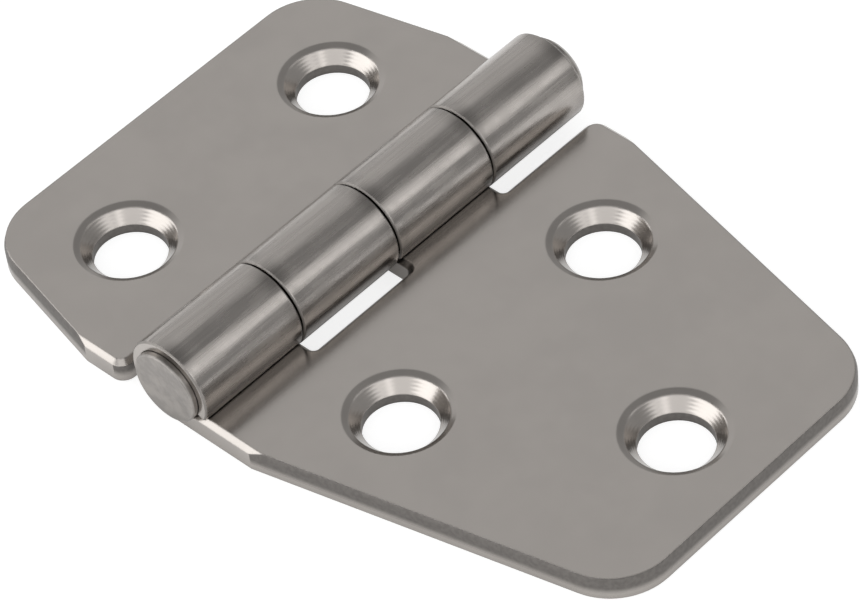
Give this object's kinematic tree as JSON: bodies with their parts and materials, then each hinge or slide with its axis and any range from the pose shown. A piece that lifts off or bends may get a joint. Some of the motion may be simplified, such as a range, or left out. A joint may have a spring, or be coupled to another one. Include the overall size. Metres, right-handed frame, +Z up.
{
  "type": "marine hinge",
  "caption": "Flat marine hinge of stamped stainless sheet: a short and a long tapered leaf, rolled into knuckles that mesh round a peened pin, with countersunk screw holes.",
  "frame": {"origin": "on the mounting plane, under the middle of the pin's axis", "axes": "+X across the pin towards the end of the long leaf, +Y along the pin, +Z up out of the mounting plane"},
  "size_m": [0.0596, 0.0413, 0.0073],
  "materials": {
    "leaf_steel": "tumbled satin stainless steel",
    "pin_steel": "turned stainless steel with a head at one end and the other peened over"
  },
  "bodies": {
    "long_leaf": {"long_leaf": "leaf_steel", "hinge_pin": "pin_steel"},
    "short_leaf": {"short_leaf": "leaf_steel"}
  },
  "joints": [
    {"name": "leaf_swing", "type": "hinge", "parent": "long_leaf", "child": "short_leaf", "pos_m": [0, 0, 0.00365], "axis": [0, 1, 0], "range_deg": [-95, 180]}
  ]
}
